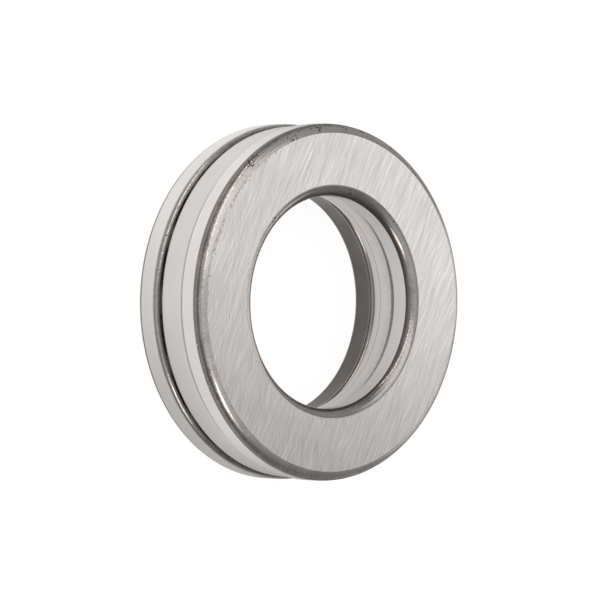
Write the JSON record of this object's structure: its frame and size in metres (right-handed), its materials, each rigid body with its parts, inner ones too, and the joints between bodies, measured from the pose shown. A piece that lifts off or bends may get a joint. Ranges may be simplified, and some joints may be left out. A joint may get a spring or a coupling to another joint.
{
  "type": "thrust ball bearing",
  "caption": "Single-direction thrust ball bearing: two grooved steel washers with a caged ring of balls between them, for axial load on a shaft.",
  "frame": {"origin": "centre of the housing washer's seat face, on the surface that the bearing lies on", "axes": "+Z is the bearing's axis, from the housing washer up to the shaft washer; +X passes through the middle of a ball"},
  "size_m": [0.042, 0.042, 0.011],
  "materials": {
    "washer_steel": "hardened bearing steel, ground on seats and rims, turned and dark at the corners",
    "cage_steel": "pressed sheet steel, smooth outside, faintly mottled inside",
    "ball_steel": "lapped and polished"
  },
  "bodies": {
    "housing": {"housing_washer": "washer_steel"},
    "shaft": {"shaft_washer": "washer_steel"},
    "cage": {"cage_lower_shell": "cage_steel", "cage_upper_shell": "cage_steel"},
    "ball_01": {"ball_01": "ball_steel"},
    "ball_02": {"ball_02": "ball_steel"},
    "ball_03": {"ball_03": "ball_steel"},
    "ball_04": {"ball_04": "ball_steel"},
    "ball_05": {"ball_05": "ball_steel"},
    "ball_06": {"ball_06": "ball_steel"},
    "ball_07": {"ball_07": "ball_steel"},
    "ball_08": {"ball_08": "ball_steel"},
    "ball_09": {"ball_09": "ball_steel"},
    "ball_10": {"ball_10": "ball_steel"},
    "ball_11": {"ball_11": "ball_steel"},
    "ball_12": {"ball_12": "ball_steel"},
    "ball_13": {"ball_13": "ball_steel"},
    "ball_14": {"ball_14": "ball_steel"},
    "ball_15": {"ball_15": "ball_steel"},
    "ball_16": {"ball_16": "ball_steel"}
  },
  "joints": [
    {"name": "shaft_washer_spin", "type": "hinge", "parent": "housing", "child": "shaft", "pos_m": [0, 0, 0.0055], "axis": [0, 0, 1], "continuous": true},
    {"name": "cage_spin", "type": "hinge", "parent": "housing", "child": "cage", "pos_m": [0, 0, 0.0055], "axis": [0, 0, 1], "continuous": true},
    {"name": "ball_01_roll", "type": "hinge", "parent": "cage", "child": "ball_01", "pos_m": [0.0169, 0, 0.0055], "axis": [1, 0, 0], "continuous": true},
    {"name": "ball_02_roll", "type": "hinge", "parent": "cage", "child": "ball_02", "pos_m": [0.01561, 0.00647, 0.0055], "axis": [0.9239, 0.3827, 0], "continuous": true},
    {"name": "ball_03_roll", "type": "hinge", "parent": "cage", "child": "ball_03", "pos_m": [0.01195, 0.01195, 0.0055], "axis": [0.7071, 0.7071, 0], "continuous": true},
    {"name": "ball_04_roll", "type": "hinge", "parent": "cage", "child": "ball_04", "pos_m": [0.00647, 0.01561, 0.0055], "axis": [0.3827, 0.9239, 0], "continuous": true},
    {"name": "ball_05_roll", "type": "hinge", "parent": "cage", "child": "ball_05", "pos_m": [0, 0.0169, 0.0055], "axis": [0, 1, 0], "continuous": true},
    {"name": "ball_06_roll", "type": "hinge", "parent": "cage", "child": "ball_06", "pos_m": [-0.00647, 0.01561, 0.0055], "axis": [-0.3827, 0.9239, 0], "continuous": true},
    {"name": "ball_07_roll", "type": "hinge", "parent": "cage", "child": "ball_07", "pos_m": [-0.01195, 0.01195, 0.0055], "axis": [-0.7071, 0.7071, 0], "continuous": true},
    {"name": "ball_08_roll", "type": "hinge", "parent": "cage", "child": "ball_08", "pos_m": [-0.01561, 0.00647, 0.0055], "axis": [-0.9239, 0.3827, 0], "continuous": true},
    {"name": "ball_09_roll", "type": "hinge", "parent": "cage", "child": "ball_09", "pos_m": [-0.0169, 0, 0.0055], "axis": [-1, 0, 0], "continuous": true},
    {"name": "ball_10_roll", "type": "hinge", "parent": "cage", "child": "ball_10", "pos_m": [-0.01561, -0.00647, 0.0055], "axis": [-0.9239, -0.3827, 0], "continuous": true},
    {"name": "ball_11_roll", "type": "hinge", "parent": "cage", "child": "ball_11", "pos_m": [-0.01195, -0.01195, 0.0055], "axis": [-0.7071, -0.7071, 0], "continuous": true},
    {"name": "ball_12_roll", "type": "hinge", "parent": "cage", "child": "ball_12", "pos_m": [-0.00647, -0.01561, 0.0055], "axis": [-0.3827, -0.9239, 0], "continuous": true},
    {"name": "ball_13_roll", "type": "hinge", "parent": "cage", "child": "ball_13", "pos_m": [0, -0.0169, 0.0055], "axis": [0, -1, 0], "continuous": true},
    {"name": "ball_14_roll", "type": "hinge", "parent": "cage", "child": "ball_14", "pos_m": [0.00647, -0.01561, 0.0055], "axis": [0.3827, -0.9239, 0], "continuous": true},
    {"name": "ball_15_roll", "type": "hinge", "parent": "cage", "child": "ball_15", "pos_m": [0.01195, -0.01195, 0.0055], "axis": [0.7071, -0.7071, 0], "continuous": true},
    {"name": "ball_16_roll", "type": "hinge", "parent": "cage", "child": "ball_16", "pos_m": [0.01561, -0.00647, 0.0055], "axis": [0.9239, -0.3827, 0], "continuous": true}
  ],
  "couplings": [
    {"joint": "cage_spin", "follows": "shaft_washer_spin", "ratio": 0.5},
    {"joint": "ball_01_roll", "follows": "shaft_washer_spin", "ratio": -2.6614},
    {"joint": "ball_02_roll", "follows": "shaft_washer_spin", "ratio": -2.6614},
    {"joint": "ball_03_roll", "follows": "shaft_washer_spin", "ratio": -2.6614},
    {"joint": "ball_04_roll", "follows": "shaft_washer_spin", "ratio": -2.6614},
    {"joint": "ball_05_roll", "follows": "shaft_washer_spin", "ratio": -2.6614},
    {"joint": "ball_06_roll", "follows": "shaft_washer_spin", "ratio": -2.6614},
    {"joint": "ball_07_roll", "follows": "shaft_washer_spin", "ratio": -2.6614},
    {"joint": "ball_08_roll", "follows": "shaft_washer_spin", "ratio": -2.6614},
    {"joint": "ball_09_roll", "follows": "shaft_washer_spin", "ratio": -2.6614},
    {"joint": "ball_10_roll", "follows": "shaft_washer_spin", "ratio": -2.6614},
    {"joint": "ball_11_roll", "follows": "shaft_washer_spin", "ratio": -2.6614},
    {"joint": "ball_12_roll", "follows": "shaft_washer_spin", "ratio": -2.6614},
    {"joint": "ball_13_roll", "follows": "shaft_washer_spin", "ratio": -2.6614},
    {"joint": "ball_14_roll", "follows": "shaft_washer_spin", "ratio": -2.6614},
    {"joint": "ball_15_roll", "follows": "shaft_washer_spin", "ratio": -2.6614},
    {"joint": "ball_16_roll", "follows": "shaft_washer_spin", "ratio": -2.6614}
  ]
}
